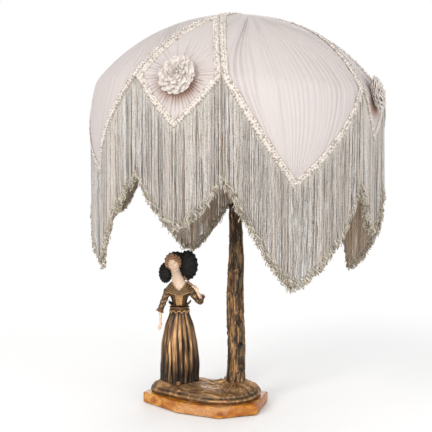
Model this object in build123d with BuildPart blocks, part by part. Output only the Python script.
"""Figural table lamp: a bronze and ivory-toned figure beside a tree trunk that carries a fringed silk shade.

Frame: origin on the table under the trunk's axis, +Z up, -Y towards the viewer, +X to the viewer's right.
All sizes are in millimetres.
"""
from build123d import *
import os
from math import asin, cos, pi, radians, sin, sqrt

os.makedirs("parts", exist_ok=True)

# ---------------------------------------------------------------- driving dimensions
# Shade: four leaf panels with a kite panel between each two, on a dome that is part of a sphere
LEAF_COUNT = 4
FRONT_LEAF_BEARING = -68.0          # degrees from +X to the middle of the front leaf panel
DOME_RADIUS = 300.0
RIM_HEIGHT = 555.0                  # where leaf and kite panels part, above the table
RIM_RADIUS = 246.0
RIM_HALF_ANGLE = 28.3               # degrees from a leaf's middle to its rim corner
SHOULDER_RADIUS = 175.0             # a point half way down the seam of leaf and kite
SHOULDER_HALF_ANGLE = 34.0
KITE_TOP_RADIUS = 99.0              # top corner of a kite panel
LEAF_TIP_RADIUS = 228.0
LEAF_TIP_HEIGHT = 400.0
KITE_TIP_RADIUS = 238.0
KITE_TIP_HEIGHT = 479.0
LEAF_BELLY = 15.5                   # how far a leaf stands out of the line from rim to tip, half way down
KITE_BELLY = 3.0
LEAF_EDGE_BULGE = 9.0               # how far the curved lower edges stand out of their chords
KITE_EDGE_BULGE = 4.0
CROWN_RING_RADIUS = 30.0
FRINGE_DROP = 152.0
FRINGE_THICKNESS = 7.0
SILK_THICKNESS = 1.2
SEAM_GAP = 0.3                      # between neighbouring soft pieces
BRAID_WIDTH = 12.0
BRAID_THICKNESS = 2.6
ROSETTE_RADIUS = 30.0
ROSETTE_DEPTH = 17.0
ROSETTE_PETALS = 12
ROSETTE_LEAN = 14.0                 # degrees that its face looks up
ROSETTE_RINGS = [(0.0, 0.9, 2.5), (0.35, 1.0, 4.0), (0.8, 0.7, 3.0), (1.0, 0.35, 1.0)]
RIB_WIRE_RADIUS = 1.3
SOLDER_GAP = 0.5                    # between the crown ring and the ends of the wires that are soldered to it
RIB_INSET = 3.2                     # from a panel's seam to the middle of its wire
WIRE_STAND_OFF = 4.5                # from the silk's face to the middle of the lower wires
RING_WIRE_RADIUS = 1.8
HUB_RADIUS = 13.0
HUB_THICKNESS = 2.0
HUB_DROP = 13.0                     # the hub hangs this far below the crown ring
SPOKE_COUNT = 4

# Stem and electrical fittings
PIPE_RADIUS = 5.0
PIPE_WALL = 1.2
PIPE_BOTTOM = 5.0
THREAD_CLEARANCE = 0.1
THREAD_FIT = 0.04                   # between a screwed piece and its thread
CAP_RADIUS = 12.0
CAP_HEIGHT = 6.0
CAP_SHOULDER = 2.0                  # how far the cap's rounded shoulder comes in
CLUSTER_RADIUS = 15.0
CLUSTER_HEIGHT = 26.0
CLUSTER_CHAMFER = 3.0
ARM_RADIUS = 7.0
STEM_SEAT = 5.0                     # how far the shade stem goes into the cluster
SHADE_LEAN = 3.3                    # degrees that the stem and shade lean from upright, towards +X
SOCKET_ELEVATION = 40.0             # degrees above horizontal
SOCKET_START = 19.0                 # from the cluster's middle to the socket cap's back
SOCKET_CAP_LENGTH = 17.0
SOCKET_CAP_SLOPE = 7.0              # length of the cap's sloping back
SOCKET_CAP_SHOULDER = 3.0           # how far in the slope meets the shoulder
SOCKET_CAP_LIP = 5.0                # length of the cap's straight mouth
BODY_IN_CAP = 3.0                   # how far the socket's body reaches back into the cap
SOCKET_SHELL_LENGTH = 44.0
SOCKET_RADIUS = 17.5
SHEET_METAL = 0.8
SOCKET_BODY_LENGTH = 19.0
BEAD = 1.2
NIPPLE_RADIUS = 4.75
LAMP_BASE_RADIUS = 12.8
LAMP_BASE_LENGTH = 24.0
LAMP_BASE_TAPER = 5.0               # length of the tapered contact end
GLASS_RADIUS = 28.0
GLASS_LENGTH = 78.0                 # from the metal base's lip to the crown of the glass
GLASS_NECK_RADIUS = 11.6
GLASS_NECK_LENGTH = 4.0             # from the metal base's lip to the swell of the glass
GLASS_WAIST_ANGLE = 22.5            # degrees below the globe's middle where the swell meets it
NECK_IN_BASE = 6.0
GLASS_WALL = 1.0
KEY_SHAFT_RADIUS = 1.8
KEY_CLEARANCE = 0.08
KEY_DEPTH = 5.0                     # how far the key's shaft reaches into the socket body
KEY_REACH = 6.0                     # from the socket body's face to the key's paddle
KEY_PADDLE = (17.0, 10.0, 2.6)      # width, height and thickness
NUT_HEIGHT = 4.0
SHADE_REST_RADIUS = 11.0
SHADE_REST_HEIGHT = 3.0
RUNNING_GAP = 0.1                   # between the turning hub and what it runs on
FINIAL_HEIGHT = 16.0
FINIAL_RADIUS = 8.0
FINIAL_NECK_RADIUS = 5.8
STEM_IN_FINIAL = 9.0
FINIAL_LEVELS = (2.5, 5.0, 8.0, 10.0)       # top of the collar, neck, and start and end of the bead
FINIAL_CROWN = [(6.8, 3.0), (4.0, 1.0)]     # radii of the rounded top, and their distances below its end

# Base
PLINTH_CORNERS = [(-166, 14), (-101, -49), (-28, -79), (37, -56), (58, 21), (-14, 53), (-79, 70), (-147, 54)]
FELT_THICKNESS = 2.0
FELT_INSET = 3.0
PLINTH_TOP = 20.0
PLINTH_EDGE = 1.5
POCKET_RADIUS = 22.0
POCKET_DEPTH = 11.0
INLET_RADIUS = 3.1
INLET_WALL = 0.9
INLET_LENGTH = 14.0
INLET_FLANGE_RADIUS = 6.0
INLET_FLANGE = 1.2
INLET_SIDE = 4                      # the plinth's side, counted from its first corner, with the cord inlet
INLET_HEIGHT = 9.5
BASE_NUT_FLATS = 17.0
WASHER_RADIUS = 14.0
WASHER_THICKNESS = 1.5
# the ground's contours: height above the plinth, and inset of each corner towards the plinth's middle
MOUND_CONTOURS = [(0.0, 17.0), (6.0, 15.0), (14.0, 20.0), (19.0, 29.0), (21.0, 42.0)]
TRUNK_SIDES = 12
TRUNK_WAVE = 1.2                    # how far the trunk wanders from its axis
TRUNK_WAVE_RISE = (31.0, 43.0)      # rise over which it wanders by one radian, sideways and in depth
BARK_RISE = (60.0, 45.0)            # rise over which the bark's ridges turn by one radian, each way
BARK_RIDGE = 0.07                   # depth of the bark's main ridges, as a share of the radius
TRUNK_PROFILE = [(0.0, 26.0), (7.0, 18.0), (21.0, 15.4), (98.0, 15.6), (151.0, 14.8), (203.0, 13.8),
                 (256.0, 12.0), (299.0, 10.8), (374.0, 9.6)]

# Figure, placed by the middle of its skirt; widths and depths are half sizes
FIGURE_X = -101.0
FIGURE_Y = 24.0
SKIRT_FLUTES = 15
SKIRT_PROFILE = [(0.0, 34.0, 31.0, 2.6), (26.0, 34.5, 31.0, 2.4), (67.0, 32.5, 28.5, 2.0),
                 (100.0, 26.5, 22.5, 1.4), (126.0, 17.5, 14.0, 0.6)]
BELT_HEIGHT = 7.5
BELT_WIDTH = 16.5
BELT_DEPTH = 13.5
BODICE_PROFILE = [(0.0, 12.5, 9.5), (15.0, 15.5, 11.5), (28.0, 22.5, 13.0), (35.0, 13.0, 9.0)]
PEPLUM_FLARE = [(1.0, 12.0, 9.0), (9.5, 21.0, 15.0), (10.5, 21.0, 15.0)]
COLLAR_PROFILE = [(25.0, 28.0, 15.5), (28.0, 28.5, 16.0), (36.5, 12.0, 8.5)]
HEAD_CENTRE = (-10.5, -3.0, 252.0)
HEAD_AXIS = (-0.34, -0.12, 0.93)    # from the chin to the crown
HEAD_RADIUS = 13.0
HEAD_LENGTH = 34.0
HEAD_PROFILE = [(0.45, -0.47), (0.85, -0.2), (1.0, 0.1), (0.85, 0.33), (0.4, 0.47)]    # shares of radius, length
NECK_RADIUS = 6.2
NECK_SPREAD = 1.0                   # how much wider the neck is at its foot
NECK_SINK = 5.0                     # how far the neck goes down into the bodice
NECK_TOP = (-5.0, -1.0)             # where the neck meets the head
BOW_LOBES = [(-26.0, 233.5, 11.0, 19.0), (17.0, 246.5, 15.5, 27.0), (-7.0, 253.0, 22.0, 18.0)]
BOW_BACK = 21.0                     # behind the figure's middle
BOW_THICKNESS = 14.0
BOW_ROUNDING = [(0.0, 0.72), (0.25, 0.96), (0.7, 1.0), (1.0, 0.8)]
LEFT_SHOULDER = (-21.0, 0.0, 204.0)
LEFT_CUFF = (-34.0, -2.0, 168.0)
LEFT_WRIST = (-34.5, -4.0, 147.0)
LEFT_FINGERS = (-36.0, -6.0, 131.0)
RIGHT_SHOULDER = (20.0, 0.0, 203.0)
RIGHT_ELBOW = (36.5, -3.0, 183.0)
RIGHT_CUFF = (39.0, -8.0, 190.0)
RIGHT_WRIST = (33.0, -14.0, 203.0)
RIGHT_FINGERS = (27.0, -16.0, 216.0)
SLEEVE_TOP_RADIUS = 5.8
SLEEVE_CUFF_RADIUS = 5.0
FOREARM_RADIUS = 3.4
WRIST_RADIUS = 2.4
HAND_RADIUS = 2.6
FINGER_RADIUS = 1.4
RIBBON_TOP = (9.0, -7.0, 229.0)
RIBBON_END = (27.5, -15.5, 214.0)
RIBBON_RADIUS = 0.9
SHOE_LENGTH = 17.0
SHOE_WIDTH = 9.0
SHOE_HEIGHT = 4.5
SHOE_TAPER = 15.0
SCREW_RADIUS = 2.5
SCREW_HEAD_RADIUS = 5.0
SCREW_HEAD = 3.0
SCREW_SINK = 9.0                    # depth of the hole that takes the screw's head
SCREW_REACH = 22.0                  # how far the screw goes up into the skirt
HOLE_CLEARANCE = 0.25

# ---------------------------------------------------------------- derived values
DOME_CENTRE = RIM_HEIGHT - sqrt(DOME_RADIUS**2 - RIM_RADIUS**2)
KITE_TOP_ANGLE = 180.0 / LEAF_COUNT
GROUND_TOP = PLINTH_TOP + MOUND_CONTOURS[-1][0]
TRUNK_TOP = GROUND_TOP + TRUNK_PROFILE[-1][0]
CAP_TOP = TRUNK_TOP + CAP_HEIGHT
CLUSTER_TOP = CAP_TOP + CLUSTER_HEIGHT
CLUSTER_MIDDLE = CAP_TOP + CLUSTER_HEIGHT / 2
POCKET_TOP = FELT_THICKNESS + POCKET_DEPTH
WAIST = GROUND_TOP + SKIRT_PROFILE[-1][0]
BODICE_BOTTOM = WAIST + BELT_HEIGHT
BODICE_TOP = BODICE_BOTTOM + BODICE_PROFILE[-1][0]


def dome_height(radius, sphere=DOME_RADIUS):
    """Height of the dome above the table at a distance from the axis."""
    return DOME_CENTRE + sqrt(sphere**2 - radius**2)


def arc_centre(a, b, c):
    """Centre of the arc through three points of a profile."""
    to_b, to_c = b - a, c - a
    twice = 2 * (to_b.X * to_c.Y - to_b.Y * to_c.X)
    b_square, c_square = to_b.dot(to_b), to_c.dot(to_c)
    return a + Vector(to_c.Y * b_square - to_b.Y * c_square, to_b.X * c_square - to_c.X * b_square) / twice


def set_back(point, centre, depth):
    """A profile's point moved towards the centre of its arc."""
    return point + (centre - point).normalized() * depth


def lower_arc(rim, tip_radius, tip_height, belly):
    """Rim, belly and tip points of the part of a panel's profile that hangs below the rim."""
    tip = Vector(tip_radius, tip_height)
    return [rim, (rim + tip) * 0.5 + Vector(belly, 0), tip]


CROWN_HEIGHT = dome_height(CROWN_RING_RADIUS)
HUB_HEIGHT = CROWN_HEIGHT - HUB_DROP
STEM_TOP = HUB_HEIGHT + RUNNING_GAP + STEM_IN_FINIAL


STEM_FOOT = Location((0, 0, CLUSTER_TOP - STEM_SEAT))
LEAN = STEM_FOOT * Location((0, 0, 0), (0, SHADE_LEAN, 0)) * STEM_FOOT.inverse()


def save(part, name):
    """Label a finished piece and write it."""
    part.label = name
    export_step(part, f"parts/{name}.step")


def save_leaned(name, *pieces):
    """Lean pieces that the stem carries about the stem's foot, and write them as one node."""
    leaned = [piece.moved(LEAN) for piece in pieces]
    save(leaned[0] if len(leaned) == 1 else Compound(children=leaned), name)


def leaf_bearing(index):
    """Bearing of a leaf panel's middle."""
    return FRONT_LEAF_BEARING + index * 360 / LEAF_COUNT


def kite_bearing(index):
    """Bearing of the kite panel that follows a leaf panel."""
    return leaf_bearing(index) + 180 / LEAF_COUNT


# ---------------------------------------------------------------- shade panels
def on_dome(radius, bearing, sphere=DOME_RADIUS):
    """A point of the dome, or of a sphere inside or outside it."""
    reach = radius * sphere / DOME_RADIUS
    turn = radians(bearing)
    height = DOME_CENTRE + (dome_height(radius) - DOME_CENTRE) * sphere / DOME_RADIUS
    return Vector(reach * cos(turn), reach * sin(turn), height)


def seam_plane(bearing, side):
    """Plane through the three points of a leaf's seam on one side (+1 or -1), facing away from the leaf."""
    top = on_dome(KITE_TOP_RADIUS, bearing + side * KITE_TOP_ANGLE)
    shoulder = on_dome(SHOULDER_RADIUS, bearing + side * SHOULDER_HALF_ANGLE)
    corner = on_dome(RIM_RADIUS, bearing + side * RIM_HALF_ANGLE)
    normal = (shoulder - top).cross(corner - top) * side
    return Plane(origin=shoulder, x_dir=corner - top, z_dir=normal)


def meridian_plane(bearing, side):
    """Vertical plane through the axis on one side of a leaf, facing away from the leaf."""
    turn = radians(bearing + side * KITE_TOP_ANGLE)
    outward = (cos(turn), sin(turn), 0)
    return Plane(origin=(0, 0, 0), x_dir=outward, z_dir=(-side * sin(turn), side * cos(turn), 0))


def panel_outline(edge, top_height, grow=0):
    """A panel's outline in its own upright plane: straight sides, curved edges that meet in a tip."""
    half_width, corner_height, tip_height, bulge = edge
    corner = Vector(half_width, corner_height)
    tip = Vector(0, tip_height)
    chord = corner - tip
    belly = (corner + tip) * 0.5 + Vector(chord.Y, -chord.X).normalized() * bulge
    with BuildSketch() as outline:
        with BuildLine():
            Polyline(tip, (0, top_height), (half_width, top_height), corner)
            ThreePointArc(corner, belly, tip)
        make_face()
        mirror(about=Plane.YZ)
        if grow:
            offset(amount=grow, kind=Kind.INTERSECTION)
    return outline.sketch


def upright(bearing, distance=0):
    """Upright plane square to a bearing, at a distance from the axis: x to the right seen from inside, y up."""
    turn = radians(bearing)
    outward = Vector(cos(turn), sin(turn), 0)
    return Plane(origin=outward * distance, x_dir=(-sin(turn), cos(turn), 0), z_dir=outward)


LEAF_HALF_WIDTH = RIM_RADIUS * sin(radians(RIM_HALF_ANGLE))
KITE_HALF_WIDTH = RIM_RADIUS * sin(radians(KITE_TOP_ANGLE - RIM_HALF_ANGLE))
LEAF_EDGE = (LEAF_HALF_WIDTH, RIM_HEIGHT, LEAF_TIP_HEIGHT, LEAF_EDGE_BULGE)
KITE_EDGE = (KITE_HALF_WIDTH, RIM_HEIGHT, KITE_TIP_HEIGHT, KITE_EDGE_BULGE)


def panel_region(bearing, is_leaf, inset):
    """The space that one panel takes, drawn in from its seams and lower edges by an inset."""
    edge = LEAF_EDGE if is_leaf else KITE_EDGE
    with BuildPart() as region:
        with BuildSketch(upright(bearing)):
            add(panel_outline(edge, dome_height(0) + BRAID_WIDTH, -inset))
        extrude(amount=DOME_RADIUS)
        for side in (1, -1):
            if is_leaf:
                cuts = [seam_plane(bearing, side), meridian_plane(bearing, side)]
                cuts = [cut.offset(-inset) for cut in cuts]
                keep = Keep.BOTTOM
            else:
                cuts = [seam_plane(bearing - side * KITE_TOP_ANGLE, side).offset(inset)]
                keep = Keep.TOP
            for cut in cuts:
                split(bisect_by=cut, keep=keep)
    return region.part


def seam_point(radius, angle):
    """Point of the dome's profile as far out as a seam's point lies along the middle of its kite."""
    return Vector(radius * cos(radians(KITE_TOP_ANGLE - angle)), dome_height(radius))


LEAF_UPPER = [Vector(radius, dome_height(radius)) for radius in (CROWN_RING_RADIUS, SHOULDER_RADIUS, RIM_RADIUS)]
KITE_UPPER = [seam_point(KITE_TOP_RADIUS, KITE_TOP_ANGLE), seam_point(SHOULDER_RADIUS, SHOULDER_HALF_ANGLE),
              seam_point(RIM_RADIUS, RIM_HALF_ANGLE)]
LEAF_LOWER = lower_arc(LEAF_UPPER[2], LEAF_TIP_RADIUS, LEAF_TIP_HEIGHT - BRAID_WIDTH, LEAF_BELLY)
KITE_LOWER = lower_arc(KITE_UPPER[2], KITE_TIP_RADIUS, KITE_TIP_HEIGHT - BRAID_WIDTH, KITE_BELLY)


def panel_skin(bearing, is_leaf, low, high, inset):
    """A panel's skin between two offsets of its profile, cut to its region.

    Leaves are turned about the axis; kites are stretched straight from seam to seam."""
    upper, lower = (LEAF_UPPER, LEAF_LOWER) if is_leaf else (KITE_UPPER, KITE_LOWER)
    upper_centre, lower_centre = arc_centre(*upper), arc_centre(*lower)

    def offset_profile(stand_off):
        """Crown, middle, rim, belly and tip points at an offset from the profile."""
        points = [set_back(point, upper_centre, -stand_off) for point in upper]
        return points + [set_back(point, lower_centre, -stand_off) for point in lower[1:]]

    inner = offset_profile(low)
    outer = offset_profile(high)
    with BuildPart() as skin:
        with BuildSketch(Plane.XZ.rotated((0, 0, bearing - (KITE_TOP_ANGLE if is_leaf else 0)))):
            with BuildLine():
                ThreePointArc(*outer[:3])
                ThreePointArc(*outer[2:])
                Line(outer[4], inner[4])
                ThreePointArc(*inner[4:1:-1])
                ThreePointArc(*inner[2::-1])
                Line(inner[0], outer[0])
            make_face()
        if is_leaf:
            revolve(axis=Axis.Z, revolution_arc=2 * KITE_TOP_ANGLE)
        else:
            extrude(amount=KITE_HALF_WIDTH + BRAID_WIDTH, both=True)
        add(panel_region(bearing, is_leaf, inset), mode=Mode.INTERSECT)
    return skin.part


def braid_strip(bearing, is_leaf):
    """Gimp braid laid on the silk all round one panel."""
    low = SEAM_GAP
    high = SEAM_GAP + BRAID_THICKNESS
    with BuildPart() as strip:
        add(panel_skin(bearing, is_leaf, low, high, SEAM_GAP / 2))
        add(panel_region(bearing, is_leaf, BRAID_WIDTH), mode=Mode.SUBTRACT)
    return strip.part


def fringe_curtain(bearing, is_leaf):
    """Fringe hanging from one panel's lower edges, as a flat curtain mitred to its neighbours."""
    edge = LEAF_EDGE if is_leaf else KITE_EDGE
    half_angle = RIM_HALF_ANGLE if is_leaf else KITE_TOP_ANGLE - RIM_HALF_ANGLE
    middle = (RIM_RADIUS * cos(radians(half_angle)) + (LEAF_TIP_RADIUS if is_leaf else KITE_TIP_RADIUS)) / 2
    with BuildPart() as curtain:
        with BuildSketch(upright(bearing, middle - FRINGE_THICKNESS / 2)):
            with Locations((0, -FRINGE_DROP)):
                add(panel_outline(edge, RIM_HEIGHT + FRINGE_DROP))
            add(panel_outline(edge, RIM_HEIGHT + FRINGE_DROP, SEAM_GAP), mode=Mode.SUBTRACT)
        extrude(amount=FRINGE_THICKNESS)
        for side in (1, -1):
            turn = radians(bearing + side * half_angle)
            mitre = Plane(origin=(0, 0, 0), x_dir=(cos(turn), sin(turn), 0),
                          z_dir=(-side * sin(turn), side * cos(turn), 0))
            split(bisect_by=mitre.offset(-SEAM_GAP / 2), keep=Keep.BOTTOM)
    return curtain.part


for index in range(LEAF_COUNT):
    number = index + 1
    for kind, bearing, is_leaf in (("leaf", leaf_bearing(index), True), ("kite", kite_bearing(index), False)):
        skin = panel_skin(bearing, is_leaf, -SILK_THICKNESS, 0, SEAM_GAP / 2)
        save_leaned(f"silk_{kind}_panel_{number}", skin)
        save_leaned(f"{kind}_fringe_{number}", fringe_curtain(bearing, is_leaf))


# ---------------------------------------------------------------- rosettes, one on each kite panel
def petal_ring(radius, notch):
    """Corner points of a round with as many notches as the rosette has petals."""
    steps = 2 * ROSETTE_PETALS
    sizes = [radius if step % 2 else radius - notch for step in range(steps)]
    return [(size * cos(pi * step / ROSETTE_PETALS), size * sin(pi * step / ROSETTE_PETALS))
            for step, size in enumerate(sizes)]


def rosette(bearing):
    """Gathered silk rosette, seated on its kite at the rim and leaning back with the dome."""
    turn = radians(bearing)
    lean = radians(ROSETTE_LEAN)
    outward = Vector(cos(turn) * cos(lean), sin(turn) * cos(lean), sin(lean))
    reach = KITE_UPPER[2].X
    seat = Vector(reach * cos(turn), reach * sin(turn), RIM_HEIGHT) + outward * SEAM_GAP
    back = Plane(origin=seat, x_dir=(-sin(turn), cos(turn), 0), z_dir=outward)
    with BuildPart() as flower:
        for depth, radius, notch in ROSETTE_RINGS:
            with BuildSketch(back.offset(depth * ROSETTE_DEPTH)):
                Polygon(*petal_ring(radius * ROSETTE_RADIUS, notch), align=None)
        loft(ruled=True)
    return flower.part


save_leaned("silk_rosettes", *[rosette(kite_bearing(index)) for index in range(LEAF_COUNT)])
save_leaned("leaf_braids", *[braid_strip(leaf_bearing(index), True) for index in range(LEAF_COUNT)])
save_leaned("kite_braids", *[braid_strip(kite_bearing(index), False) for index in range(LEAF_COUNT)])

# ---------------------------------------------------------------- wire frame
RIB_SPHERE = DOME_RADIUS - SILK_THICKNESS - SEAM_GAP - RIB_WIRE_RADIUS
RING_SPHERE = DOME_RADIUS - SILK_THICKNESS - SEAM_GAP - RING_WIRE_RADIUS


def inset_bearing(bearing, angle, radius):
    """A bearing short of a seam's bearing by the rib's inset, measured along the dome."""
    inset = asin(RIB_INSET / radius) * 180 / pi
    return bearing + (angle - inset if angle > 0 else angle + inset)


def bent_wire(points):
    """Round wire bent along an arc through three points, or straight between two."""
    with BuildPart() as wire:
        with BuildLine() as route:
            if len(points) == 3:
                ThreePointArc(*points)
            else:
                Line(*points)
        with BuildSketch(Plane(origin=route.line @ 0, z_dir=route.line % 0)):
            Circle(RIB_WIRE_RADIUS)
        sweep(path=route.line)
    return wire.part


def edge_middle(edge):
    """Sideways distance and height of a lower edge's middle."""
    half_width, corner_height, tip_height, bulge = edge
    chord = Vector(half_width, corner_height - tip_height)
    return Vector(half_width, corner_height + tip_height) * 0.5 + Vector(chord.Y, -chord.X).normalized() * bulge


def behind_leaf(sideways, height, depth):
    """How far out a point behind a leaf's lower part lies, along the leaf's bearing."""
    centre = arc_centre(*LEAF_LOWER)
    size = (LEAF_LOWER[0] - centre).length - depth
    radius = centre.X + sqrt(size**2 - (height - centre.Y) ** 2)
    return sqrt(radius**2 - sideways**2)


def behind_kite(height, depth):
    """How far out a point behind a kite lies, along the kite's bearing."""
    arc = KITE_UPPER if height > RIM_HEIGHT else KITE_LOWER
    centre = arc_centre(*arc)
    size = (arc[0] - centre).length - depth
    return centre.X + sqrt(size**2 - (height - centre.Y) ** 2)


def panel_wire(bearing, is_leaf):
    """Wire bent round one panel: up its two seams and along its two lower edges, soldered where it meets."""
    edge = LEAF_EDGE if is_leaf else KITE_EDGE
    outward = upright(bearing).z_dir
    sideways = upright(bearing).x_dir

    def behind(aside, height, depth):
        """Point behind the panel's silk at a distance aside from its middle, at a height."""
        reach = behind_leaf(aside, height, depth) if is_leaf else behind_kite(height, depth)
        return outward * reach + sideways * aside + Vector(0, 0, height)

    rib_depth = SILK_THICKNESS + SEAM_GAP + RIB_WIRE_RADIUS
    tip = behind(0, edge[2] + 2 * RIB_INSET, WIRE_STAND_OFF)
    middle = edge_middle(edge)
    with BuildPart() as frame:
        for side in (1, -1):
            belly = behind(side * (middle.X - RIB_INSET), middle.Y + RIB_INSET / 2, WIRE_STAND_OFF)
            if is_leaf:
                top = on_dome(KITE_TOP_RADIUS, inset_bearing(bearing, side * KITE_TOP_ANGLE, KITE_TOP_RADIUS),
                              RIB_SPHERE)
                shoulder = on_dome(SHOULDER_RADIUS, inset_bearing(bearing, side * SHOULDER_HALF_ANGLE,
                                                                  SHOULDER_RADIUS), RIB_SPHERE)
                corner = on_dome(RIM_RADIUS - RIB_WIRE_RADIUS - SEAM_GAP,
                                 inset_bearing(bearing, side * RIM_HALF_ANGLE, RIM_RADIUS), RIB_SPHERE)
                ring_edge = CROWN_WIRE_RADIUS + RING_WIRE_RADIUS + SOLDER_GAP
                radii = (ring_edge, (ring_edge + KITE_TOP_RADIUS) / 2, KITE_TOP_RADIUS)
                add(bent_wire([on_dome(radius, inset_bearing(bearing, side * KITE_TOP_ANGLE, radius), RIB_SPHERE)
                               for radius in radii]))
            else:
                spread = KITE_TOP_ANGLE - SHOULDER_HALF_ANGLE
                top = behind(0, dome_height(KITE_TOP_RADIUS + 3 * RIB_INSET), rib_depth)
                shoulder = behind(side * (SHOULDER_RADIUS * sin(radians(spread)) - RIB_INSET),
                                  dome_height(SHOULDER_RADIUS), rib_depth)
                corner = behind(side * (KITE_HALF_WIDTH - RIB_INSET), RIM_HEIGHT + RIB_WIRE_RADIUS, rib_depth)
            add(bent_wire([top, shoulder, corner]))
            add(bent_wire([corner, belly, tip]))
    return frame.part


CROWN_WIRE_RADIUS = CROWN_RING_RADIUS + RING_WIRE_RADIUS
CROWN_WIRE_HEIGHT = dome_height(CROWN_WIRE_RADIUS, RING_SPHERE)

with BuildPart() as spider:
    with Locations((0, 0, CROWN_WIRE_HEIGHT)):
        Torus(CROWN_WIRE_RADIUS, RING_WIRE_RADIUS)
    with BuildSketch(Plane.XY.offset(HUB_HEIGHT - HUB_THICKNESS)):
        Circle(HUB_RADIUS)
    extrude(amount=HUB_THICKNESS)
    for index in range(SPOKE_COUNT):
        outward = upright(leaf_bearing(index)).z_dir
        inner = outward * (HUB_RADIUS - 2 * RIB_WIRE_RADIUS) + Vector(0, 0, HUB_HEIGHT - HUB_THICKNESS / 2)
        outer = outward * (CROWN_WIRE_RADIUS - RIB_WIRE_RADIUS / 2) + Vector(0, 0, CROWN_WIRE_HEIGHT)
        add(bent_wire([inner, outer]))
    with BuildSketch(Plane.XY.offset(HUB_HEIGHT - 2 * HUB_THICKNESS)):
        Circle(NIPPLE_RADIUS + THREAD_CLEARANCE)
    extrude(amount=3 * HUB_THICKNESS, mode=Mode.SUBTRACT)
save_leaned("shade_spider", spider.part)
save_leaned("leaf_wires", *[panel_wire(leaf_bearing(index), True) for index in range(LEAF_COUNT)])
save_leaned("kite_wires", *[panel_wire(kite_bearing(index), False) for index in range(LEAF_COUNT)])

# ---------------------------------------------------------------- base
INLET_FROM = Vector(*PLINTH_CORNERS[INLET_SIDE])
INLET_TO = Vector(*PLINTH_CORNERS[INLET_SIDE + 1])
INLET_AXIS = (INLET_TO - INLET_FROM).cross(Vector(0, 0, 1)).normalized()
INLET_REACH = INLET_FROM.dot(INLET_AXIS)
INLET_PLANE = Plane(origin=(0, 0, INLET_HEIGHT), z_dir=INLET_AXIS)

with BuildPart() as plinth:
    with BuildSketch(Plane.XY.offset(FELT_THICKNESS)):
        Polygon(*PLINTH_CORNERS, align=None)
    extrude(amount=PLINTH_TOP - FELT_THICKNESS)
    chamfer(plinth.faces().sort_by(Axis.Z)[-1].edges(), PLINTH_EDGE)
    with BuildSketch(Plane.XY.offset(FELT_THICKNESS)):
        Circle(POCKET_RADIUS)
    extrude(amount=POCKET_DEPTH, mode=Mode.SUBTRACT)
    with BuildSketch(Plane.XY.offset(FELT_THICKNESS)):
        Circle(PIPE_RADIUS + HOLE_CLEARANCE)
        with Locations((FIGURE_X, FIGURE_Y)):
            Circle(SCREW_RADIUS + HOLE_CLEARANCE)
    extrude(amount=PLINTH_TOP, mode=Mode.SUBTRACT)
    with BuildSketch(Plane.XY.offset(FELT_THICKNESS)):
        with Locations((FIGURE_X, FIGURE_Y)):
            Circle(SCREW_HEAD_RADIUS + HOLE_CLEARANCE)
    extrude(amount=SCREW_SINK, mode=Mode.SUBTRACT)
    with BuildSketch(INLET_PLANE):
        Circle(INLET_RADIUS + INLET_WALL)
    extrude(amount=2 * INLET_REACH, mode=Mode.SUBTRACT)
save(plinth.part, "marble_plinth")

with BuildPart() as felt:
    with BuildSketch():
        Polygon(*PLINTH_CORNERS, align=None)
        offset(amount=-FELT_INSET)
    extrude(amount=FELT_THICKNESS)
save(felt.part, "felt_pad")

with BuildPart() as grommet:
    with BuildSketch(INLET_PLANE.offset(INLET_REACH - INLET_LENGTH)):
        Circle(INLET_RADIUS + INLET_WALL)
    extrude(amount=INLET_LENGTH)
    with BuildSketch(INLET_PLANE.offset(INLET_REACH)):
        Circle(INLET_FLANGE_RADIUS)
    extrude(amount=INLET_FLANGE)
    fillet(grommet.faces().sort_by(Axis(INLET_PLANE.origin, INLET_AXIS))[-1].edges(), INLET_FLANGE / 2)
    with BuildSketch(INLET_PLANE.offset(INLET_REACH - INLET_LENGTH)):
        Circle(INLET_RADIUS)
    extrude(amount=INLET_LENGTH + INLET_FLANGE, mode=Mode.SUBTRACT)
save(grommet.part, "cord_inlet_grommet")

PLINTH_MIDDLE = sum((Vector(*corner) for corner in PLINTH_CORNERS), Vector()) / len(PLINTH_CORNERS)


def inset_corner(corner, inset):
    """A plinth corner moved in towards the plinth's middle."""
    corner = Vector(*corner)
    return corner + (PLINTH_MIDDLE - corner).normalized() * inset


with BuildPart() as mound:
    for level, inset in MOUND_CONTOURS:
        with BuildSketch(Plane.XY.offset(PLINTH_TOP + level)):
            with BuildLine():
                Spline(*[inset_corner(corner, inset) for corner in PLINTH_CORNERS], periodic=True)
            make_face()
    loft(ruled=True)
    with BuildSketch(Plane.XY.offset(PLINTH_TOP)):
        Circle(PIPE_RADIUS + HOLE_CLEARANCE)
        with Locations((FIGURE_X, FIGURE_Y)):
            Circle(SCREW_RADIUS + HOLE_CLEARANCE)
    extrude(amount=MOUND_CONTOURS[-1][0], mode=Mode.SUBTRACT)
save(mound.part, "ground_mound")


def bark_section(level, radius):
    """Corner points of the trunk's section: a ridged round that wanders a little from the axis."""
    points = []
    for side in range(TRUNK_SIDES):
        turn = 2 * pi * side / TRUNK_SIDES
        ridge = BARK_RIDGE * (sin(3 * turn + level / BARK_RISE[0]) + sin(5 * turn - level / BARK_RISE[1]) / 2)
        reach = radius * (1 + ridge)
        wander = (TRUNK_WAVE * sin(level / TRUNK_WAVE_RISE[0]), TRUNK_WAVE * cos(level / TRUNK_WAVE_RISE[1]))
        points.append((reach * cos(turn) + wander[0], reach * sin(turn) + wander[1]))
    return points


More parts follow.
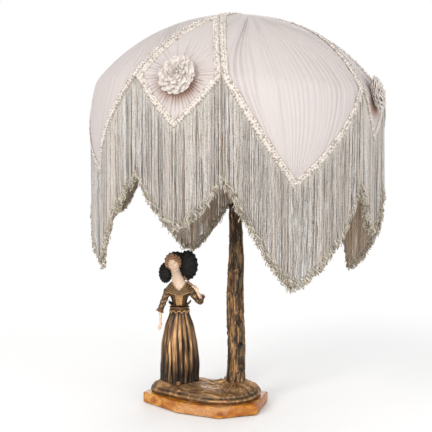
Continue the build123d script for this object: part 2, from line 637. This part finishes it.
with BuildPart() as trunk:
    for level, radius in TRUNK_PROFILE:
        with BuildSketch(Plane.XY.offset(GROUND_TOP + level)):
            Polygon(*bark_section(level, radius), align=None)
    loft(ruled=True)
    with BuildSketch(Plane.XY.offset(GROUND_TOP)):
        Circle(PIPE_RADIUS + HOLE_CLEARANCE)
    extrude(amount=TRUNK_TOP - GROUND_TOP, mode=Mode.SUBTRACT)
save(trunk.part, "trunk_casting")

# ---------------------------------------------------------------- threaded pipe and its nut
NUT_TOP = POCKET_TOP - WASHER_THICKNESS

with BuildPart() as pipe:
    with BuildSketch(Plane.XY.offset(PIPE_BOTTOM)):
        Circle(PIPE_RADIUS)
        Circle(PIPE_RADIUS - PIPE_WALL, mode=Mode.SUBTRACT)
    extrude(amount=CLUSTER_MIDDLE - CLUSTER_HEIGHT / 4 - PIPE_BOTTOM)
save(pipe.part, "threaded_pipe")

with BuildPart() as washer:
    with BuildSketch(Plane.XY.offset(NUT_TOP)):
        Circle(WASHER_RADIUS)
        Circle(PIPE_RADIUS + THREAD_CLEARANCE, mode=Mode.SUBTRACT)
    extrude(amount=WASHER_THICKNESS)
save(washer.part, "base_washer")

with BuildPart() as base_nut:
    with BuildSketch(Plane.XY.offset(NUT_TOP - NUT_HEIGHT)):
        RegularPolygon(BASE_NUT_FLATS / 2, 6, major_radius=False)
        Circle(PIPE_RADIUS + THREAD_FIT, mode=Mode.SUBTRACT)
    extrude(amount=NUT_HEIGHT)
save(base_nut.part, "base_lock_nut")

# ---------------------------------------------------------------- trunk cap, cluster and shade stem
with BuildPart() as cap:
    with BuildSketch(Plane.XZ):
        with BuildLine():
            Polyline((PIPE_RADIUS + THREAD_CLEARANCE, TRUNK_TOP), (CAP_RADIUS, TRUNK_TOP),
                     (CAP_RADIUS, TRUNK_TOP + CAP_HEIGHT / 3))
            ThreePointArc((CAP_RADIUS, TRUNK_TOP + CAP_HEIGHT / 3),
                          (CAP_RADIUS - CAP_SHOULDER, CAP_TOP - CAP_HEIGHT / 4),
                          (CAP_RADIUS - CAP_HEIGHT, CAP_TOP))
            Polyline((CAP_RADIUS - CAP_HEIGHT, CAP_TOP), (PIPE_RADIUS + THREAD_CLEARANCE, CAP_TOP),
                     (PIPE_RADIUS + THREAD_CLEARANCE, TRUNK_TOP))
        make_face()
    revolve(axis=Axis.Z)
save(cap.part, "trunk_cap")


def socket_plane(side):
    """Plane square to a socket's axis at the cluster's middle; side is -1 for left and +1 for right."""
    lift = radians(SOCKET_ELEVATION)
    return Plane(origin=(0, 0, CLUSTER_MIDDLE), x_dir=(0, 1, 0), z_dir=(side * cos(lift), 0, sin(lift)))


with BuildPart() as cluster:
    with BuildSketch(Plane.XY.offset(CAP_TOP)):
        Circle(CLUSTER_RADIUS)
    extrude(amount=CLUSTER_HEIGHT)
    chamfer(cluster.edges().filter_by(GeomType.CIRCLE), CLUSTER_CHAMFER)
    for side in (-1, 1):
        with BuildSketch(socket_plane(side)):
            Circle(ARM_RADIUS)
        extrude(amount=SOCKET_START)
    for side in (-1, 1):
        with BuildSketch(socket_plane(side)):
            Circle(NIPPLE_RADIUS - PIPE_WALL)
        extrude(amount=SOCKET_START, mode=Mode.SUBTRACT)
    with BuildSketch(Plane.XY.offset(CAP_TOP)):
        Circle(PIPE_RADIUS + THREAD_FIT)
    extrude(amount=CLUSTER_MIDDLE - CLUSTER_HEIGHT / 4 - CAP_TOP, mode=Mode.SUBTRACT)
    with BuildSketch(Plane(LEAN).offset(CLUSTER_TOP - STEM_SEAT)):
        Circle(NIPPLE_RADIUS + THREAD_FIT)
    extrude(amount=2 * STEM_SEAT, mode=Mode.SUBTRACT)
    with BuildSketch(Plane.XY.offset(CAP_TOP)):
        Circle(PIPE_RADIUS - PIPE_WALL)
    extrude(amount=CLUSTER_HEIGHT, mode=Mode.SUBTRACT)
save(cluster.part, "socket_cluster")

with BuildPart() as stem:
    with BuildSketch(Plane.XY.offset(CLUSTER_TOP - STEM_SEAT)):
        Circle(NIPPLE_RADIUS)
    extrude(amount=STEM_TOP - CLUSTER_TOP + STEM_SEAT)
    chamfer(stem.edges().group_by(Axis.Z)[-1], PIPE_WALL / 2)
save_leaned("shade_stem", stem.part)

REST_TOP = HUB_HEIGHT - HUB_THICKNESS - RUNNING_GAP
with BuildPart() as rest:
    with BuildSketch(Plane.XY.offset(REST_TOP - SHADE_REST_HEIGHT)):
        Circle(SHADE_REST_RADIUS)
    extrude(amount=SHADE_REST_HEIGHT)
    chamfer(rest.edges().group_by(Axis.Z)[0], SHADE_REST_HEIGHT / 3)
    with BuildSketch(Plane.XY.offset(REST_TOP - SHADE_REST_HEIGHT)):
        Circle(NIPPLE_RADIUS + THREAD_FIT)
    extrude(amount=SHADE_REST_HEIGHT, mode=Mode.SUBTRACT)
save_leaned("shade_rest_nut", rest.part)


# ---------------------------------------------------------------- sockets and bulbs
def turned(plane, outline):
    """Solid of revolution about a plane's normal; the outline's points are (radius, distance along it)."""
    meridian = Plane(origin=plane.origin, x_dir=plane.x_dir, z_dir=plane.x_dir.cross(plane.z_dir))
    with BuildPart() as solid:
        with BuildSketch(meridian):
            with BuildLine():
                Polyline(*outline, close=True)
            make_face()
        revolve(axis=Axis(plane.origin, plane.z_dir))
    return solid.part


FINIAL_BORE = NIPPLE_RADIUS + THREAD_CLEARANCE
BORE_DEPTH = STEM_IN_FINIAL + THREAD_CLEARANCE
collar_top, neck_level, bead_start, bead_end = FINIAL_LEVELS
finial = turned(Plane.XY.offset(HUB_HEIGHT + RUNNING_GAP),
                [(FINIAL_BORE, 0), (FINIAL_RADIUS, 0), (FINIAL_RADIUS, collar_top), (FINIAL_NECK_RADIUS, neck_level),
                 (FINIAL_RADIUS, bead_start), (FINIAL_RADIUS, bead_end),
                 *[(radius, FINIAL_HEIGHT - drop) for radius, drop in FINIAL_CROWN],
                 (0, FINIAL_HEIGHT), (0, BORE_DEPTH), (FINIAL_BORE, BORE_DEPTH)])
save_leaned("shade_finial", finial)

CAP_MOUTH = SOCKET_START + SOCKET_CAP_LENGTH
SHELL_MOUTH = CAP_MOUTH + SOCKET_SHELL_LENGTH
BODY_BACK = CAP_MOUTH - BODY_IN_CAP
BODY_FRONT = BODY_BACK + SOCKET_BODY_LENGTH
BULB_BACK = BODY_FRONT + SEAM_GAP
BULB_LIP = BULB_BACK + LAMP_BASE_LENGTH
KEY_POSITION = BODY_BACK + SOCKET_BODY_LENGTH / 2
LINER_RADIUS = SOCKET_RADIUS - SHEET_METAL - 2 * THREAD_CLEARANCE
SLEEVE_RADIUS = LAMP_BASE_RADIUS + SHEET_METAL + THREAD_CLEARANCE


def key_plane(side, radius):
    """Plane square to a key's shaft, at a distance from the socket's axis; the key points at the viewer."""
    axis = socket_plane(side)
    return Plane(origin=axis.origin + axis.z_dir * KEY_POSITION + Vector(0, -radius, 0), x_dir=axis.z_dir,
                 z_dir=(0, -1, 0))


for side, hand in ((-1, "left"), (1, "right")):
    axis = socket_plane(side)
    back_radius = NIPPLE_RADIUS - PIPE_WALL
    slope_end = SOCKET_START + SOCKET_CAP_SLOPE
    lip_start = CAP_MOUTH - SOCKET_CAP_LIP
    shoulder_radius = SOCKET_RADIUS - SOCKET_CAP_SHOULDER
    save(turned(axis, [(back_radius, SOCKET_START), (SOCKET_RADIUS / 2, SOCKET_START), (shoulder_radius, slope_end),
                       (SOCKET_RADIUS, lip_start), (SOCKET_RADIUS, CAP_MOUTH), (SOCKET_RADIUS - SHEET_METAL, CAP_MOUTH),
                       (SOCKET_RADIUS - SHEET_METAL, lip_start + SHEET_METAL / 2),
                       (shoulder_radius - SHEET_METAL, slope_end + SHEET_METAL / 2),
                       (SOCKET_RADIUS / 2 - SHEET_METAL / 2, SOCKET_START + SHEET_METAL),
                       (back_radius, SOCKET_START + SHEET_METAL)]), f"socket_cap_{hand}")
    shell_bore = SOCKET_RADIUS - SHEET_METAL
    with BuildPart() as shell:
        add(turned(axis, [(SOCKET_RADIUS, CAP_MOUTH), (SOCKET_RADIUS, SHELL_MOUTH - 2 * BEAD),
                          (SOCKET_RADIUS + BEAD, SHELL_MOUTH - BEAD), (SOCKET_RADIUS, SHELL_MOUTH),
                          (shell_bore, SHELL_MOUTH), (shell_bore, CAP_MOUTH)]))
        with BuildSketch(key_plane(side, 0)):
            Circle(KEY_SHAFT_RADIUS + HOLE_CLEARANCE)
        extrude(amount=2 * SOCKET_RADIUS, mode=Mode.SUBTRACT)
    save(shell.part, f"socket_shell_{hand}")
    with BuildPart() as body:
        add(turned(axis, [(0, BODY_BACK), (LINER_RADIUS, BODY_BACK), (LINER_RADIUS, BODY_FRONT),
                          (0, BODY_FRONT)]))
        add(turned(axis, [(SLEEVE_RADIUS - SHEET_METAL, BODY_FRONT), (SLEEVE_RADIUS, BODY_FRONT),
                          (SLEEVE_RADIUS, SHELL_MOUTH - 2 * BEAD),
                          (SLEEVE_RADIUS - SHEET_METAL, SHELL_MOUTH - 2 * BEAD)]))
        with BuildSketch(key_plane(side, LINER_RADIUS - KEY_DEPTH)):
            Circle(KEY_SHAFT_RADIUS + KEY_CLEARANCE)
        extrude(amount=2 * KEY_DEPTH, mode=Mode.SUBTRACT)
    save(body.part, f"socket_interior_{hand}")
    with BuildPart() as key:
        with BuildSketch(key_plane(side, LINER_RADIUS - KEY_DEPTH + THREAD_CLEARANCE)):
            Circle(KEY_SHAFT_RADIUS)
        extrude(amount=KEY_DEPTH + KEY_REACH)
        with BuildSketch(key_plane(side, LINER_RADIUS + KEY_REACH)):
            SlotOverall(KEY_PADDLE[0], KEY_PADDLE[2])
        extrude(amount=KEY_PADDLE[1])
    save(key.part, f"switch_key_{hand}")
    save(turned(axis, [(0, BULB_BACK), (LAMP_BASE_RADIUS / 2, BULB_BACK),
                       (LAMP_BASE_RADIUS, BULB_BACK + LAMP_BASE_TAPER), (LAMP_BASE_RADIUS, BULB_LIP), (GLASS_NECK_RADIUS, BULB_LIP),
                       (GLASS_NECK_RADIUS, BULB_LIP - NECK_IN_BASE), (0, BULB_LIP - NECK_IN_BASE)]),
         f"bulb_base_{hand}")
    meridian = Plane(origin=axis.origin, x_dir=axis.x_dir, z_dir=axis.x_dir.cross(axis.z_dir))
    globe = BULB_LIP + GLASS_LENGTH - GLASS_RADIUS
    with BuildPart() as glass:
        for wall, how in ((0, Mode.ADD), (GLASS_WALL, Mode.SUBTRACT)):
            with BuildSketch(meridian):
                with BuildLine():
                    neck = (GLASS_NECK_RADIUS - wall, BULB_LIP + GLASS_NECK_LENGTH)
                    below = radians(GLASS_WAIST_ANGLE)
                    waist = ((GLASS_RADIUS - wall) * cos(below), globe - (GLASS_RADIUS - wall) * sin(below))
                    crown = (0, globe + GLASS_RADIUS - wall)
                    start = BULB_LIP - NECK_IN_BASE
                    Polyline(crown, (0, start), (GLASS_NECK_RADIUS - wall, start), neck, waist)
                    ThreePointArc(waist, (GLASS_RADIUS - wall, globe), crown)
                make_face()
            revolve(axis=Axis(axis.origin, axis.z_dir), mode=how)
    save(glass.part, f"bulb_glass_{hand}")


# ---------------------------------------------------------------- figure
FIGURE_SPOT = Vector(FIGURE_X, FIGURE_Y, 0)


def at_figure(x, y, z):
    """A point given from the figure's own axis, with its height above the table."""
    return FIGURE_SPOT + Vector(x, y, z)


def figure_plane(height):
    """Level plane through the figure at a height."""
    return Plane(origin=at_figure(0, 0, height))


def fluted(width, depth, fold):
    """Corner points of a gathered skirt's section: folds standing out all round an oval."""
    steps = 2 * SKIRT_FLUTES
    points = []
    for step in range(steps):
        turn = 2 * pi * step / steps
        stand = fold if step % 2 else -fold
        points.append(((width + stand) * cos(turn), (depth + stand) * sin(turn)))
    return points


def limb(start, end, start_radius, end_radius):
    """Tapered round limb between two points of the figure."""
    base = at_figure(*start)
    tip = at_figure(*end)
    with BuildPart() as piece:
        for spot, radius in ((base, start_radius), (tip, end_radius)):
            with BuildSketch(Plane(origin=spot, z_dir=tip - base)):
                Circle(radius)
        loft()
    return piece.part


with BuildPart() as skirt:
    for level, width, depth, fold in SKIRT_PROFILE:
        with BuildSketch(figure_plane(GROUND_TOP + level)):
            Polygon(*fluted(width, depth, fold), align=None)
    loft(ruled=True)
    with BuildSketch(figure_plane(GROUND_TOP)):
        Circle(SCREW_RADIUS)
    extrude(amount=SCREW_REACH, mode=Mode.SUBTRACT)
save(skirt.part, "figure_skirt")

with BuildPart() as screw:
    with BuildSketch(figure_plane(FELT_THICKNESS + SCREW_SINK - SCREW_HEAD)):
        Circle(SCREW_HEAD_RADIUS)
    extrude(amount=SCREW_HEAD)
    with BuildSketch(figure_plane(FELT_THICKNESS + SCREW_SINK)):
        Circle(SCREW_RADIUS)
    extrude(amount=GROUND_TOP + SCREW_REACH - FELT_THICKNESS - SCREW_SINK)
save(screw.part, "figure_screw")

with BuildPart() as shoe:
    with BuildSketch(figure_plane(GROUND_TOP)):
        with Locations((0, -SKIRT_PROFILE[0][2])):
            Ellipse(SHOE_WIDTH / 2, SHOE_LENGTH / 2)
    extrude(amount=SHOE_HEIGHT, taper=SHOE_TAPER)
    add(skirt.part, mode=Mode.SUBTRACT)
save(shoe.solids().sort_by(Axis.Y)[0], "figure_shoe")

with BuildPart() as belt:
    with BuildSketch(figure_plane(WAIST)):
        Ellipse(BELT_WIDTH, BELT_DEPTH)
    extrude(amount=BELT_HEIGHT)
    fillet(belt.edges().filter_by(GeomType.ELLIPSE), BELT_HEIGHT / 3)
save(belt.part, "figure_belt")


def oval_loft(profile, base):
    """Body form through ovals at rising levels: (level, half width, half depth)."""
    with BuildPart() as form:
        for level, width, depth in profile:
            with BuildSketch(figure_plane(base + level)):
                Ellipse(width, depth)
        loft()
    return form.part


with BuildPart() as bodice:
    add(oval_loft(BODICE_PROFILE, BODICE_BOTTOM))
    add(oval_loft(PEPLUM_FLARE, BODICE_BOTTOM))
save(bodice.part, "figure_bodice")

head_axis = Vector(*HEAD_AXIS).normalized()
head_plane = Plane(origin=at_figure(*HEAD_CENTRE), x_dir=head_axis.cross(Vector(0, 1, 0)), z_dir=head_axis)
with BuildPart() as head:
    add(turned(head_plane, [(0, -HEAD_LENGTH / 2),
                            *[(HEAD_RADIUS * wide, HEAD_LENGTH * high) for wide, high in HEAD_PROFILE],
                            (0, HEAD_LENGTH / 2)]))
    add(limb((0, 0, BODICE_TOP - NECK_SINK), (*NECK_TOP, HEAD_CENTRE[2] - HEAD_RADIUS),
             NECK_RADIUS + NECK_SPREAD, NECK_RADIUS))
    add(bodice.part, mode=Mode.SUBTRACT)
save(head.part, "figure_head_and_neck")

with BuildPart() as collar:
    add(oval_loft(COLLAR_PROFILE, BODICE_BOTTOM))
    add(bodice.part, mode=Mode.SUBTRACT)
    add(head.part, mode=Mode.SUBTRACT)
save(collar.part, "figure_collar")

with BuildPart() as bow:
    for x, z, half_width, half_height in BOW_LOBES:
        for step in range(len(BOW_ROUNDING)):
            setback, share = BOW_ROUNDING[step]
            with BuildSketch(Plane.XZ.offset(-FIGURE_Y - BOW_BACK + setback * BOW_THICKNESS)):
                with Locations((FIGURE_X + x, z)):
                    Ellipse(half_width * share, half_height * share)
        loft(ruled=True)
    add(head.part, mode=Mode.SUBTRACT)
    add(collar.part, mode=Mode.SUBTRACT)
save(bow.part, "figure_head_bow")


def clear_of(part, *others):
    """A piece cut back where it would reach into the pieces it is fitted to, keeping its largest solid."""
    with BuildPart() as fitted:
        add(part)
        for other in others:
            add(other, mode=Mode.SUBTRACT)
    return fitted.part.solids().sort_by(SortBy.VOLUME)[-1]


left_sleeve = clear_of(limb(LEFT_SHOULDER, LEFT_CUFF, SLEEVE_TOP_RADIUS, SLEEVE_CUFF_RADIUS),
                       bodice.part, collar.part)
save(left_sleeve, "figure_sleeve_left")
with BuildPart() as right_sleeve:
    add(limb(RIGHT_SHOULDER, RIGHT_ELBOW, SLEEVE_TOP_RADIUS, SLEEVE_CUFF_RADIUS))
    with Locations(at_figure(*RIGHT_ELBOW)):
        Sphere(SLEEVE_CUFF_RADIUS)
    add(limb(RIGHT_ELBOW, RIGHT_CUFF, SLEEVE_CUFF_RADIUS, SLEEVE_CUFF_RADIUS))
right_sleeve = clear_of(right_sleeve.part, bodice.part, collar.part)
save(right_sleeve, "figure_sleeve_right")


def hand_and_arm(cuff, wrist, fingers):
    """Forearm with its hand, from inside the cuff to the finger ends."""
    with BuildPart() as arm:
        add(limb(cuff, wrist, FOREARM_RADIUS, WRIST_RADIUS))
        with Locations(at_figure(*wrist)):
            Sphere(WRIST_RADIUS)
        add(limb(wrist, fingers, HAND_RADIUS, FINGER_RADIUS))
    return arm.part


left_arm = clear_of(hand_and_arm(LEFT_CUFF, LEFT_WRIST, LEFT_FINGERS), left_sleeve, skirt.part)
save(left_arm, "figure_arm_left")
right_arm = clear_of(hand_and_arm(RIGHT_CUFF, RIGHT_WRIST, RIGHT_FINGERS), right_sleeve, bow.part, collar.part)
save(right_arm, "figure_arm_right")
ribbon = clear_of(limb(RIBBON_TOP, RIBBON_END, RIBBON_RADIUS, RIBBON_RADIUS), head.part, bow.part, collar.part,
                  right_arm)
save(ribbon, "figure_ribbon")
